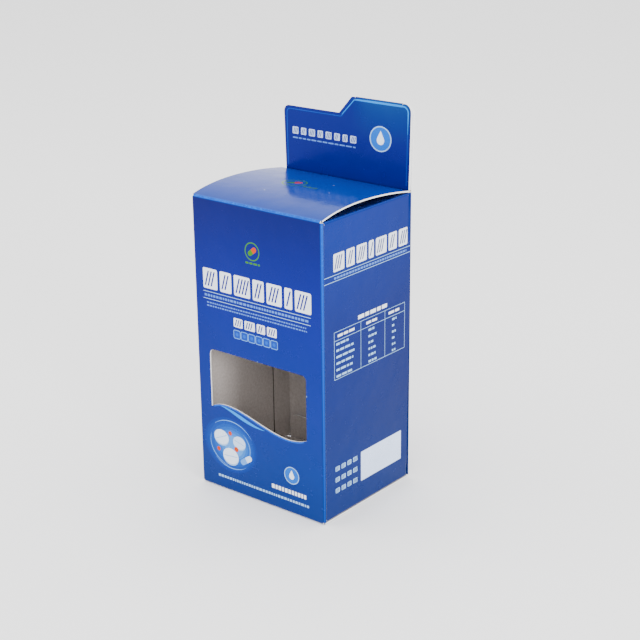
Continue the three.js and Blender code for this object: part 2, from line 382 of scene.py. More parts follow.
def header_fold(u, v, depth):
    x = HALF_WIDTH - FOLD - u + BACK_START
    if v <= ROLL_START:
        rise, inwards = v - HEIGHT, depth
    elif v < ROLL_END:
        a = (v - ROLL_START) / ROLL
        rise = HEADER_FOLD + (ROLL - depth) * math.sin(a)
        inwards = ROLL - (ROLL - depth) * math.cos(a)
    else:
        rise, inwards = HEADER_FOLD - v + ROLL_END, 2 * BOARD - depth
    lean = HEADER_LEAN if rise > 0 else 0.0
    c, s = math.cos(lean), math.sin(lean)
    return x, HALF_DEPTH + rise * s - inwards * c, HEIGHT + rise * c + inwards * s


# Closures

TUCK_DEPTH, SLIT_LENGTH, SLIT_WIDTH = 14.0, 6.0, 0.35
PANEL_SIDE, TUCK_SIDE, TUCK_TIP_SIDE = 34.6, 33.1, 31.9


class Closure:
    """The outside line of a closure by length along it, from the tuck flap's tip to the front fold.

    reach is the panel's depth, rise and fall are the bow's slopes at the front and rear folds, and
    the handles are how far each slope carries into the bow.
    """

    REAR_STEPS, BOW_STEPS, FRONT_STEPS = 40, 240, 16

    def __init__(self, reach, rise, fall, front_handle, rear_handle, upside_down):
        lean = math.asin(TUCK_DEPTH / (2 * reach)) + math.atan(FOLD / reach)
        front = -HALF_DEPTH
        rear_centre = (front + reach - FOLD, -FOLD)
        start = (rear_centre[0] + FOLD * math.cos(lean), rear_centre[1] - FOLD * math.sin(lean))
        flap = TUCK_DEPTH - FOLD
        tip = (start[0] - flap * math.sin(lean), start[1] - flap * math.cos(lean))
        rear_turn = QUARTER - fall
        rear_arc = self.arc(rear_centre, -lean, rear_turn, self.REAR_STEPS)
        front_centre = (front + FOLD, -FOLD)
        last = math.pi - CREASE_TO
        front_arc = self.arc(front_centre, QUARTER + rise, last, self.FRONT_STEPS)
        rear_end, front_end = rear_arc[-1], front_arc[0]
        bow = bezier(
            rear_end,
            (rear_end[0] - rear_handle * math.cos(fall), rear_end[1] + rear_handle * math.sin(fall)),
            (front_end[0] + front_handle * math.cos(rise), front_end[1] + front_handle * math.sin(rise)),
            front_end,
            self.BOW_STEPS,
        )
        line = np.array([tip, *rear_arc, *bow[1:], *front_arc[1:]])
        steps = np.linalg.norm(np.diff(line, axis=0), axis=1)
        self.length = np.concatenate([[0], np.cumsum(steps)])
        self.line = line
        along = np.gradient(line, self.length, axis=0)
        along[0] = along[1] = (math.sin(lean), math.cos(lean))
        along /= np.linalg.norm(along, axis=1)[:, None]
        self.outwards = np.column_stack([along[:, 1], -along[:, 0]])
        self.crease = (flap, flap + FOLD * (lean + rear_turn))
        self.slit = flap + FOLD * (lean + QUARTER / 2)
        self.shoulder = flap + FOLD * (lean + math.asin(1 - BOARD / FOLD))
        self.end = self.length[-1]
        self.front_fold = self.length[-len(front_arc)]
        self.upside_down = upside_down

    @staticmethod
    def arc(centre, start, end, steps):
        return [
            (centre[0] + FOLD * math.cos(a), centre[1] + FOLD * math.sin(a))
            for a in (start + (end - start) * k / steps for k in range(steps + 1))
        ]

    def v_at(self, y):
        """Length along the line at a depth on the panel."""
        low = int(np.searchsorted(self.length, self.crease[1]))
        return float(np.interp(-y, -self.line[low:, 0], self.length[low:]))

    def fold(self, u, v, depth):
        y, z, ny, nz = (
            float(np.interp(v, self.length, column)) for column in (*self.line.T, *self.outwards.T)
        )
        scale = depth / math.hypot(ny, nz)
        y, z = y - ny * scale, z - nz * scale
        return (u, y, -z) if self.upside_down else (-u, y, HEIGHT + z)

    def outline(self):
        half = [
            (TUCK_TIP_SIDE, 0, 5),
            (TUCK_SIDE, self.shoulder),
            (PANEL_SIDE, self.shoulder),
            (PANEL_SIDE, self.slit - SLIT_WIDTH / 2),
            (PANEL_SIDE - SLIT_LENGTH, self.slit - SLIT_WIDTH / 2),
            (PANEL_SIDE - SLIT_LENGTH, self.slit + SLIT_WIDTH / 2),
            (PANEL_SIDE, self.slit + SLIT_WIDTH / 2),
            (PANEL_SIDE, self.end),
        ]
        other = [(-corner[0], *corner[1:]) for corner in half[::-1]]
        return filleted([*half, *other])


top_closure = Closure(58.5, math.radians(16), math.radians(9.5), 15.0, 20.5, False)
bottom_closure = Closure(59.1, 0.0, 0.0, 59.1 / 3, 59.1 / 3, True)


# Print. Colours are display values, 0 to 255, and None leaves the blue of the board

WHITE = (232, 238, 248)
PALE = (150, 190, 232)
SKY = (96, 152, 222)
CYAN = (0, 132, 222)
LINE_BLUE = (10, 84, 190)
SEAL_BLUE = (6, 96, 196)
FAINT = (84, 126, 204)
FAINT_FIELD = (14, 58, 158)
ORANGE = (190, 62, 8)
GREEN = (58, 118, 18)


def words(x0, x1, z, height, low, high, gap, colour):
    """A line of small blocks of uneven length, where the pack has small print."""
    shapes, x = [], x0
    while x < x1 - low * 0.6:
        end = min(x + rng.uniform(low, high), x1)
        shapes.append((rounded(x, z, end, z + height), colour))
        x = end + gap
    return shapes


def title(x0, x1, z0, z1, shares, gap, radius, colour, slot=0.0):
    """A row of bold blocks that fills a title's place, hatched with slanted slots."""
    unit = (x1 - x0 - gap * (len(shares) - 1)) / sum(shares)
    shapes, x = [], x0
    for share in shares:
        end = x + share * unit
        shapes.append((rounded(x, z0, end, z1, radius), colour))
        lean = (z1 - z0) * 0.22
        at = x + slot * 0.9
        while slot and at + lean < end - slot:
            low, high = z0 + 0.13 * (z1 - z0), z1 - 0.13 * (z1 - z0)
            shapes.append(([(at, low), (at + slot, low), (at + slot + lean, high), (at + lean, high)], None))
            at += slot * 2.1
        x = end + gap
    return shapes


def capsule(x, z, length, width, angle, one, other):
    """A two-coloured capsule."""
    half, r = (length - width) / 2, width / 2
    left_end = [(0, r), *((-half + px, pz) for px, pz in disc(0, 0, r, 1, 12, QUARTER, 3 * QUARTER)), (0, -r)]
    right_end = [(0, -r), *((half + px, pz) for px, pz in disc(0, 0, r, 1, 12, -QUARTER, QUARTER)), (0, r)]
    return [(turned(left_end, x, z, angle), one), (turned(right_end, x, z, angle), other)]


def tablet(x, z, radius, angle, face, edge):
    """A round scored tablet, seen from a little above."""
    score = [(-radius * 0.86, -radius * 0.05), (radius * 0.86, -radius * 0.05),
             (radius * 0.86, radius * 0.05), (-radius * 0.86, radius * 0.05)]
    return [
        (disc(x, z - radius * 0.16, radius, 0.82), edge),
        (disc(x, z, radius, 0.82), face),
        ([(px, z + (pz - z) * 0.82) for px, pz in turned(score, x, z, angle)], edge),
    ]


def seal(x, z, radius):
    """A plain round seal with a drop in it."""
    drop = [(0.0, 0.62), *disc(0, -0.1, 0.34, 1.0, 18, math.radians(150), math.radians(390))]
    return [
        (disc(x, z, radius, 0.96, 40), PALE),
        (disc(x, z, radius * 0.91, 0.96, 40), SEAL_BLUE),
        ([(x + radius * px, z + radius * pz) for px, pz in drop], WHITE),
    ]


def front_print():
    """The front panel's emblem, titles, sill line, tablets and seal."""
    shapes = []
    # Emblem
    shapes += [(disc(-1.9, 112.8, 4.0), GREEN), (disc(-1.9, 112.8, 3.5), None)]
    shapes += capsule(-1.9, 112.8, 5.2, 2.2, math.radians(38), GREEN, ORANGE)
    shapes += words(-5.6, 2.2, 107.3, 0.8, 1.3, 2.0, 0.5, GREEN)
    # Title, rules and small print
    shapes += title(-30.0, 29.0, 92.0, 101.0, (1.0, 0.8, 1.1, 0.75, 1.0, 0.5, 1.05), 1.5, 0.7, WHITE, 0.8)
    for z in (90.5, 87.3):
        shapes.append((rounded(-30.2, z, 28.6, z + 0.24), PALE))
    shapes += words(-29.5, 28.0, 88.5, 1.0, 0.8, 1.7, 0.45, FAINT)
    shapes += words(-28.3, 26.2, 85.5, 0.6, 0.6, 1.3, 0.4, FAINT)
    shapes += words(-28.3, 26.6, 84.1, 0.6, 0.6, 1.3, 0.4, FAINT)
    # Amount, and a row of small frames
    shapes += title(-13.3, 10.4, 77.9, 81.9, (1, 1.15, 0.9, 1.05), 1.1, 0.5, WHITE, 0.6)
    for k in range(6):
        x = -13.6 + k * 4.1
        shapes += [
            (rounded(x, 72.7, x + 3.95, 76.6, 0.8), SKY),
            (rounded(x + 0.3, 73.0, x + 3.65, 76.3, 0.5), FAINT_FIELD),
            (disc(x + 1.97, 74.65, 0.8), LINE_BLUE),
        ]
    # Sill: a bright line along the window's lower edge, and a swoosh below it
    shapes.append((stroke([(x, z - 0.45) for x, z in SILL[1:-1]], 0.55), LINE_BLUE))
    swoosh = bezier((-22.5, 39.4), (-14.0, 38.6), (-8.0, 34.4), (2.5, 34.2), 20)
    shapes.append((stroke(swoosh, [1.6 * math.sin(math.pi * (k + 0.4) / 20.8) for k in range(21)]), CYAN))
    # Tablets and capsules over a soft glow, at the lower left
    glow = ((15.2, (9, 46, 130)), (14.2, (8, 52, 138)), (13.0, (8, 60, 148)), (11.7, (10, 70, 158)),
            (10.3, (16, 82, 170)), (8.8, (28, 98, 184)), (7.2, (48, 116, 196)), (5.6, (74, 138, 208)))
    for radius, tone in glow:
        shapes.append((disc(-17.6 + 0.2 * (15.2 - radius), 22.0, radius, 0.84, 48), tone))
    for radius, start, end in ((13.6, 0.5, 2.4), (12.2, 2.8, 4.6), (10.8, -0.6, 0.9), (13.0, 3.9, 5.4)):
        ripple = disc(-17.0, 22.0, radius, 0.84, 20, start, end)
        shapes.append((stroke(ripple, [0.42 * math.sin(math.pi * (i + 0.5) / 21) for i in range(21)]), SKY))
    shapes += tablet(-22.8, 24.6, 4.2, 0.5, (206, 222, 244), (140, 176, 220))
    shapes += tablet(-12.4, 24.4, 3.6, -0.3, (190, 210, 240), (128, 168, 216))
    shapes += tablet(-17.6, 16.8, 4.5, 0.1, (214, 228, 246), (140, 176, 220))
    shapes += capsule(-8.6, 17.2, 7.4, 2.6, 0.6, SKY, (200, 216, 242))
    for x, z, r in ((-14.2, 20.9, 1.2), (-24.6, 18.6, 1.0), (-17.6, 27.6, 1.0)):
        shapes.append((disc(x, z, r), ORANGE))
    # Round seal at the lower right, amount row and the line at the foot
    shapes += seal(17.1, 17.7, 4.1)
    shapes += words(5.9, 25.6, 8.9, 1.9, 1.0, 1.6, 0.5, WHITE)
    shapes += words(-25.2, 26.6, 5.3, 1.1, 0.7, 1.5, 0.45, PALE)
    # Nicks where the window's waste was held
    nicks = (
        (WINDOW_LEFT - 0.3, 55.0, 0.3, 0.4), (WINDOW_RIGHT, 55.8, 0.28, 0.45), (-0.8, WINDOW_TOP, 0.4, 0.25),
    )
    for x, z, wide, high in nicks:
        shapes.append((rounded(x, z, x + wide, z + high), PALE))
    return [([(middle_u(x), z) for x, z in shape], colour) for shape, colour in shapes]


def side_print():
    """The right panel's title, table and lot field."""
    shapes = []
    shapes += title(-23.0, 26.8, 109.3, 116.8, (1.05, 0.8, 1.0, 0.5, 1.1, 0.85, 0.9), 1.4, 0.6, WHITE, 0.7)
    for z in (107.9, 105.3):
        shapes.append((rounded(-28.9, z, 28.9, z + 0.24), PALE))
    shapes += words(-22.6, 26.2, 106.2, 0.9, 0.8, 1.7, 0.45, FAINT)
    # Table
    shapes += words(-7.0, 13.2, 85.0, 1.7, 2.4, 4.4, 0.8, WHITE)
    left, right, top, foot = -22.8, 25.4, 83.7, 63.1
    rows = [top, 79.9] + [79.9 - (79.9 - foot) * k / 6 for k in range(1, 7)]
    columns = (left, -5.2, 11.4, right)
    for z in (top, 79.9, foot):
        shapes.append((rounded(left, z - 0.1, right, z + 0.1), PALE))
    for x in columns:
        shapes.append((rounded(x - 0.1, foot, x + 0.1, top), PALE))
    shapes += words(-20.5, -8.5, 81.2, 1.1, 2.5, 4.0, 0.7, WHITE)
    shapes += words(-1.5, 8.0, 81.2, 1.1, 2.5, 4.0, 0.7, WHITE)
    shapes += words(14.0, 23.5, 81.2, 1.1, 2.5, 4.0, 0.7, WHITE)
    for low in rows[2:]:
        shapes += words(-21.5, -21.5 + rng.uniform(8, 13), low + 0.75, 0.95, 1.4, 4.0, 0.6, PALE)
        shapes += words(0.0, rng.uniform(3.5, 6.5), low + 0.75, 0.95, 1.0, 2.2, 0.5, PALE)
        shapes += words(16.5, 16.5 + rng.uniform(2.0, 4.5), low + 0.75, 0.95, 1.0, 2.0, 0.5, PALE)
    # Lot field with its three labels
    shapes.append((rounded(-5.3, 11.1, 23.5, 24.7, 0.4), (208, 224, 255)))
    for z in (21.9, 16.9, 11.9):
        shapes += title(-22.6, -7.8, z, z + 2.1, (1, 1, 0.95, 1.05), 1.2, 0.3, PALE, 0.4)
    return [([(side_u(y), z) for y, z in shape], colour) for shape, colour in shapes]


def header_print():
    """A border inside the front ply's edge with a painted highlight along its upper right, a title, and a
    seal.
    """
    shapes = []
    inset = 1.25
    border = filleted([
        (-31.9, 133.5), (34 - inset, 133.5), (34 - inset, HEADER_TOP - inset, 2.4),
        (4.2, HEADER_TOP - inset, 1.0), (-2.6, HEADER_LOW - inset, 1.2),
        (-34.3 + inset, HEADER_LOW - inset, 1.8),
    ])
    inner = filleted([
        (-31.5, 133.2), (33.7 - inset, 133.2), (33.7 - inset, HEADER_TOP - inset - 0.35, 2.2),
        (4.4, HEADER_TOP - inset - 0.35, 1.0), (-2.4, HEADER_LOW - inset - 0.35, 1.2),
        (-33.9 + inset, HEADER_LOW - inset - 0.35, 1.6),
    ])
    shapes += [(border, (14, 62, 160)), (inner, None)]
    # Painted highlight: a cyan line up the step, along the top and round the right corner, thinning down the
    # right edge
    step = [(-2.2, HEADER_LOW - 0.6), (4.4, HEADER_TOP - inset - 0.1), (6.0, HEADER_TOP - inset + 0.1)]
    crown = [(x, HEADER_TOP - inset + 0.1) for x in (14.0, 24.0, 29.3)]
    corner = disc(29.9, HEADER_TOP - inset - 2.6, 2.7, 1.0, 8, 0.0, QUARTER)[::-1]
    widths = [0.2, 0.4, 0.6, 0.9, 0.9, 0.8, *[0.6] * 9, 0.15]
    shapes.append((stroke([*step, *crown, *corner, (32.6, 155.0)], widths), CYAN))
    shares = (1, 0.9, 1.05, 0.9, 1, 0.95, 0.8, 1)
    shapes += title(-29.4, 5.9, 147.7, 150.8, shares, 1.5, 0.4, (178, 196, 232), 0.4)
    shapes += words(-29.2, 5.6, 145.7, 0.6, 1.2, 3.4, 0.6, FAINT)
    shapes += seal(18.7, 151.4, 5.7)
    placed = [([(back_u(x), ply_v(z)) for x, z in shape], colour) for shape, colour in shapes]
    # The ink has worn off a stretch of the header's top fold
    low, high = ROLL_START - 0.3, ROLL_START + 0.8
    upper = [(x, high + rng.uniform(-0.25, 0.2)) for x in np.linspace(13.0, 27.5, 30)]
    lower = [(x, low + rng.uniform(-0.2, 0.25)) for x in np.linspace(27.5, 13.0, 30)]
    placed.append(([(back_u(x), v) for x, v in [*upper, *lower]], (186, 178, 174)))
    return placed


def lid_print():
    """The emblem on the top closure, and its chips."""
    shapes = [(disc(-5.4, 1.8, 5.6), GREEN), (disc(-5.4, 1.8, 4.8), None)]
    shapes += capsule(-5.4, 1.8, 7.0, 3.2, 0.6, GREEN, ORANGE)
    shapes += words(1.6, 10.2, -1.6, 1.5, 1.3, 2.2, 0.6, GREEN)
    # Specks where the print has chipped
    for x, y in ((-27.6, 22.5), (-8.4, -14.0), (9.6, 9.4), (17.0, -3.0)):
        shapes.append((disc(x, y, 0.28, 1.0, 8), WHITE))
    return [([(-x, top_closure.v_at(y)) for x, y in shape], colour) for shape, colour in shapes]


# Cutting and folding a blank


def inside(points, polygon):
    """Which points lie in the polygon."""
    x, y = points[:, 0], points[:, 1]
    poly = np.array(polygon)
    near = np.nonzero(
        (x >= poly[:, 0].min()) & (x <= poly[:, 0].max()) & (y >= poly[:, 1].min()) & (y <= poly[:, 1].max())
    )[0]
    result = np.zeros(len(points), bool)
    px, py = x[near], y[near]
    hit = np.zeros(len(near), bool)
    x0, y0 = poly[-1]
    for x1, y1 in poly:
        if y0 != y1:
            crosses = (y1 > py) != (y0 > py)
            hit ^= crosses & (px < (x0 - x1) * (py - y1) / (y0 - y1) + x1)
        x0, y0 = x1, y1
    result[near] = hit
    return result


def linear(colour):
    return tuple(
        c / 12.92 if c <= 0.04045 else ((c + 0.055) / 1.055) ** 2.4 for c in (k / 255 for k in colour)
    )


def cut_and_fold(name, outline, holes, lines, prints, fold, crease_of, spacing, butt=()):
    """Makes a board of one blank: printed outside, bare inside, with raw cut edges."""
    points, edges = [], []

    def add(polyline, closed):
        first = len(points)
        points.extend(polyline)
        edges.extend((i, i + 1) for i in range(first, len(points) - 1))
        if closed:
            edges.append((len(points) - 1, first))

    add(outline, True)
    for hole in holes:
        add(hole, True)
    for line in lines:
        add(line, False)
    for shape, _ in prints:
        add(shape, True)
    border = np.array(outline)
    low, high = border.min(0), border.max(0)
    for i in range(int((high[0] - low[0]) / spacing) + 1):
        for j in range(int((high[1] - low[1]) / spacing) + 1):
            points.append((
                low[0] + spacing * (i + 0.5 + rng.uniform(-0.2, 0.2)),
                low[1] + spacing * (j + 0.5 + rng.uniform(-0.2, 0.2)),
            ))
    flat, _, faces, _, _, _ = delaunay_2d_cdt([Vector(p) for p in points], edges, [], 0, 1e-4)
    flat = np.array([tuple(p) for p in flat])
    faces = np.array(faces)
    corners = flat[faces]
    area = np.cross(corners[:, 1] - corners[:, 0], corners[:, 2] - corners[:, 0]) / 2
    faces[area < 0] = faces[area < 0][:, ::-1]
    centres = corners.mean(1)
    kept = inside(centres, outline) & (np.abs(area) > 1e-7)
    for hole in holes:
        kept &= ~inside(centres, hole)
    faces, centres = faces[kept], centres[kept]
    used, faces = np.unique(faces, return_inverse=True)
    faces = faces.reshape(-1, 3)
    flat = flat[used]

    ink = np.zeros((len(faces), 4), np.float32)
    for shape, colour in prints:
        covered = inside(centres, shape)
        ink[covered] = (0, 0, 0, 0) if colour is None else (*linear(colour), 1)

    def place(depth):
        return np.array([fold(u, v, depth) for u, v in flat])

    def facing(depth):
        step = 2e-3
        result = []
        for u, v in flat:
            across = Vector(fold(u + step, v, depth)) - Vector(fold(u - step, v, depth))
            along = Vector(fold(u, v + step, depth)) - Vector(fold(u, v - step, depth))
            result.append(across.cross(along).normalized())
        return np.array(result)

    outer, inner, normals = place(0.0), place(BOARD), facing(0.0)
    count = len(flat)
    seen = dict.fromkeys(edge for a, b, c in faces.tolist() for edge in ((a, b), (b, c), (c, a)))
    rim = [edge for edge in seen if edge[::-1] not in seen]
    rim = [(a, b) for a, b in rim if not any(test(flat[a]) and test(flat[b]) for test in butt)]

    rim_points, rim_faces, rim_normals = [], [], []
    for a, b in rim:
        quad = [outer[b], outer[a], inner[a], inner[b]]
        normal = Vector(quad[1] - quad[0]).cross(Vector(quad[2] - quad[1])).normalized()
        first = 2 * count + len(rim_points)
        rim_points.extend(quad)
        rim_normals.extend([normal] * 4)
        rim_faces.append(tuple(range(first, first + 4)))

    vertices = [*outer.tolist(), *inner.tolist(), *[list(p) for p in rim_points]]
    all_faces = [
        *map(tuple, faces.tolist()),
        *((c + count, b + count, a + count) for a, b, c in faces.tolist()),
        *rim_faces,
    ]
    mesh = bpy.data.meshes.new(name)
    mesh.from_pydata([[c * MM for c in p] for p in vertices], [], all_faces)
    # The rear ply's bare side beside the header's front ply gets the white cut-edge board: a painted highlight
    # for the full light it stands in
    lining_with_painted_light = [2 if HEIGHT < flat[face, 1].mean() < ROLL_START else 1 for face in faces]
    # The glue flap's cut edges get dark board: dried glue, with a painted shadow line under the lifted flap
    # edge
    ends = [3 if flat[a, 0] > SEAM_END + 1 else 2 for a, b in rim]
    mesh.polygons.foreach_set("material_index", [0] * len(faces) + lining_with_painted_light + ends)
    mesh.polygons.foreach_set("use_smooth", [True] * len(all_faces))

    blank = np.vstack([flat, flat, *[[flat[b], flat[a], flat[a], flat[b]] for a, b in rim]])
    loops = np.array([i for face in all_faces for i in face])
    layer = mesh.uv_layers.new(name="blank")
    layer.data.foreach_set("uv", (blank[loops] / 100).astype(np.float32).ravel())
    colours = mesh.color_attributes.new("ink", "FLOAT_COLOR", "CORNER")
    per_loop = np.zeros((len(loops), 4), np.float32)
    per_loop[: 3 * len(faces)] = np.repeat(ink, 3, axis=0)
    colours.data.foreach_set("color", per_loop.ravel())
    crease = mesh.attributes.new("crease", "FLOAT", "POINT")
    crease.data.foreach_set("value", [crease_of(u, v) for u, v in blank])
    mesh.normals_split_custom_set_from_vertices(
        [*normals.tolist(), *(-normals).tolist(), *[list(n) for n in rim_normals]]
    )
    mesh.validate()
    obj = bpy.data.objects.new(name, mesh)
    bpy.context.scene.collection.objects.link(obj)
    return obj


def ridge(value, start, end):
    """1 along the middle of a fold, fading to 0 at the end of the support beside it."""
    middle, half = (start + end) / 2, (end - start) / 2
    return max(0.0, 1.0 - abs(value - middle) / (half + SUPPORT))


def steps_between(start, end, count=ARC_STEPS):
    return [start - SUPPORT, *(start + (end - start) * k / count for k in range(count + 1)), end + SUPPORT]


def across(start, end, v):
    return [(start, v), (end, v)]


def carton_lines():
    """Lines across the carton's blank that its triangles follow, so that the folds stay round."""
    lines = []
    corners = (
        (LEFT_END, FRONT_START), (FRONT_END, RIGHT_START), (RIGHT_END, BACK_START), (BACK_END, SEAM_END),
    )
    for start, end in corners:
        lines += [[(u, 0), (u, HEIGHT)] for u in steps_between(start, end)]
    front_crease = steps_between(HEIGHT - FOLD, CREASE_START, 3)[:-2]
    dust_crease = steps_between(DUST_START, DUST_START + FOLD * DUST_TURN)
    for v in front_crease:
        lines += [across(FRONT_START, FRONT_END, v), across(FRONT_START, FRONT_END, HEIGHT - v)]
    for v in dust_crease:
        for place in (left_u, side_u):
            low, high = sorted((place(DUST_FRONT), place(DUST_REAR)))
            lines += [across(low, high, v), across(low, high, HEIGHT - v)]
    roll = steps_between(ROLL_START, ROLL_END, 2 * ARC_STEPS)
    lines += [across(back_u(FOLDED_X[1]), back_u(FOLDED_X[0]), v) for v in roll]
    lines += [across(back_u(36), back_u(-36), v) for v in (HEIGHT, ply_v(HEIGHT))]
    return lines


def carton_crease(u, v):
    """How much a fold's print is stretched and scuffed, with a painted highlight: most on the two folds that
    show in front.
    """
    best = 0.0
    if v < SIDE_TOP + 0.15:
        # The front-right corner's painted highlight brightens towards the top
        corner_wear_and_highlight = 0.62 + 0.5 * v / HEIGHT
        folds = (
            (LEFT_END, FRONT_START, 0.5), (FRONT_END, RIGHT_START, corner_wear_and_highlight),
            (RIGHT_END, BACK_START, HIDDEN_WEAR_AND_HIGHLIGHT),
        )
        best = max(share * ridge(u, start, end) for start, end, share in folds)
    height = max(v, HEIGHT - v)
    if on_front(u):
        share = TOP_WEAR_AND_HIGHLIGHT if v > HEIGHT / 2 else HIDDEN_WEAR_AND_HIGHLIGHT
        best = max(best, share * ridge(height, HEIGHT - FOLD, HEIGHT - FOLD + CORNER))
    elif u <= LEFT_END or RIGHT_START <= u <= RIGHT_END:
        best = max(best, 0.4 * ridge(height, DUST_START, DUST_START + FOLD * DUST_TURN))
    elif v > HEIGHT and back_u(FOLDED_X[1]) <= u <= back_u(FOLDED_X[0]):
        best = max(best, 0.6 * ridge(v, ROLL_START, ROLL_END))
    return min(best, 1.0)


# Materials


def material(name):
    made = bpy.data.materials.new(name)
    made.use_nodes = True
    nodes, links = made.node_tree.nodes, made.node_tree.links
    return made, nodes, links, nodes["Principled BSDF"]


def math_node(nodes, links, operation, a, b=None):
    node = nodes.new("ShaderNodeMath")
    node.operation = operation
    for socket, value in zip(node.inputs, (a, b)):
        if isinstance(value, bpy.types.NodeSocket):
            links.new(value, socket)
        elif value is not None:
            socket.default_value = value
    return node.outputs[0]


def noise(nodes, links, vector, scale, detail=3.0, roughness=0.55):
    node = nodes.new("ShaderNodeTexNoise")
    node.inputs["Scale"].default_value = scale
    node.inputs["Detail"].default_value = detail
    node.inputs["Roughness"].default_value = roughness
    links.new(vector, node.inputs["Vector"])
    return node.outputs["Fac"]


def ramp(nodes, links, value, stops, colours=True):
    """A colour ramp; its stops are (place, display colour) or (place, grey level)."""
    node = nodes.new("ShaderNodeValToRGB")
    elements = node.color_ramp.elements
    while len(elements) < len(stops):
        elements.new(0.5)
    for element, (place, colour) in zip(elements, stops):
        element.position = place
    for element, (place, colour) in zip(elements, stops):
        element.color = (*linear(colour), 1) if colours else (colour, colour, colour, 1)
    links.new(value, node.inputs["Fac"])
    return node.outputs["Color"]


def mixed(nodes, links, factor, a, b, kind="MIX"):
    node = nodes.new("ShaderNodeMix")
    node.data_type = "RGBA"
    node.blend_type = kind
    for socket, value in zip((node.inputs[0], node.inputs[6], node.inputs[7]), (factor, a, b)):
        if isinstance(value, bpy.types.NodeSocket):
            links.new(value, socket)
        else:
            socket.default_value = value
    return node.outputs[2]


def printed(name, along_v, across_u, v_span, u_span, scuff_and_highlight_amount, sheen, side_v=None, glow=None):
    """Satin blue print on board, with scuffed creases carrying a painted highlight. along_v colours the blank
    up its height and across_u darkens it across in painted shade."""
    made, nodes, links, shader = material(name)
    blank = nodes.new("ShaderNodeUVMap")
    blank.uv_map = "blank"
    split = nodes.new("ShaderNodeSeparateXYZ")
    links.new(blank.outputs["UV"], split.inputs[0])
    v = math_node(nodes, links, "DIVIDE", split.outputs["Y"], v_span / 100)
    u = math_node(nodes, links, "DIVIDE", split.outputs["X"], u_span / 100)
    field = ramp(nodes, links, v, [(p / v_span, c) for p, c in along_v])
    if side_v:
        side = ramp(nodes, links, v, [(p / v_span, c) for p, c in side_v])
        past = math_node(nodes, links, "GREATER_THAN", u, FRONT_END / u_span)
        before = math_node(nodes, links, "LESS_THAN", u, BACK_START / u_span)
        field = mixed(nodes, links, math_node(nodes, links, "MULTIPLY", past, before), field, side)
    if glow:
        up, along, tint = glow
        high = ramp(nodes, links, v, [(p / v_span, g) for p, g in up], False)
        beside = ramp(nodes, links, u, [(p / u_span, g) for p, g in along], False)
        share = math_node(nodes, links, "MULTIPLY", high, beside)
        field = mixed(nodes, links, share, field, (*linear(tint), 1))
    # Painted shade: across_u darkens the blue across the blank
    shade = ramp(nodes, links, u, [(p / u_span, g) for p, g in across_u], False)
    field = mixed(nodes, links, 1.0, field, shade, "MULTIPLY")
    ink = nodes.new("ShaderNodeAttribute")
    ink.attribute_name = "ink"
    colour = mixed(nodes, links, ink.outputs["Alpha"], field, ink.outputs["Color"])

    # Uneven ink
    mottle = noise(nodes, links, blank.outputs["UV"], 7.0, 4.0)
    tone = ramp(nodes, links, mottle, [(0.3, 0.93), (0.7, 1.0)], False)
    colour = mixed(nodes, links, 1.0, colour, tone, "MULTIPLY")

    # The folds are stretched to a brighter blue and scuffed paler still, in grains; both blues are also a
    # painted highlight on the folds
    crease = nodes.new("ShaderNodeAttribute")
    crease.attribute_name = "crease"
    grain = noise(nodes, links, blank.outputs["UV"], 90.0, 6.0, 0.7)
    scuffed_and_highlit = math_node(nodes, links, "MULTIPLY", crease.outputs["Fac"], grain)
    scuffed_and_highlit = ramp(nodes, links, scuffed_and_highlit, [(0.46, 0.0), (0.60, 1.0)], False)
    scuffed_and_highlit = math_node(nodes, links, "MULTIPLY", scuffed_and_highlit, scuff_and_highlight_amount)
    stretched_and_highlit = ramp(nodes, links, crease.outputs["Fac"], [(0.25, 0.0), (0.8, 0.9)], False)
    colour = mixed(nodes, links, stretched_and_highlit, colour, (*linear((0, 74, 178)), 1))
    colour = mixed(nodes, links, scuffed_and_highlit, colour, (*linear((0, 102, 208)), 1))
    links.new(colour, shader.inputs["Base Color"])

    # Handling marks in the sheen
    smear = noise(nodes, links, blank.outputs["UV"], 16.0, 3.0)
    roughness = ramp(nodes, links, smear, [(0.25, sheen[0]), (0.8, sheen[1])], False)
    links.new(roughness, shader.inputs["Roughness"])
    shader.inputs["Metallic"].default_value = 0.45
    shader.inputs["Specular IOR Level"].default_value = 0.12

    # Fibres under the ink, and waves in the board
    fibre = noise(nodes, links, blank.outputs["UV"], 260.0, 4.0, 0.6)
    waves = noise(nodes, links, blank.outputs["UV"], 12.0, 2.0, 0.4)
    coarse = nodes.new("ShaderNodeBump")
    coarse.inputs["Strength"].default_value = 0.25
    coarse.inputs["Distance"].default_value = 0.0006
    links.new(waves, coarse.inputs["Height"])
    bump = nodes.new("ShaderNodeBump")
    bump.inputs["Strength"].default_value = 0.06
    bump.inputs["Distance"].default_value = 0.00004
    links.new(fibre, bump.inputs["Height"])
    links.new(coarse.outputs["Normal"], bump.inputs["Normal"])
    links.new(bump.outputs["Normal"], shader.inputs["Normal"])
    return made


def plain_board(name, light, dark, scale, rough, relief):
    """Uncoated board, with flecks and fibres."""
    made, nodes, links, shader = material(name)
    place = nodes.new("ShaderNodeTexCoord")
    flecks = noise(nodes, links, place.outputs["Object"], scale, 5.0, 0.65)
    links.new(ramp(nodes, links, flecks, [(0.35, dark), (0.65, light)]), shader.inputs["Base Color"])
    shader.inputs["Roughness"].default_value = rough
    fibres = noise(nodes, links, place.outputs["Object"], scale * 4, 3.0, 0.7)
    bump = nodes.new("ShaderNodeBump")
    bump.inputs["Strength"].default_value = relief
    bump.inputs["Distance"].default_value = 0.0001
    links.new(fibres, bump.inputs["Height"])
    links.new(bump.outputs["Normal"], shader.inputs["Normal"])
    return made


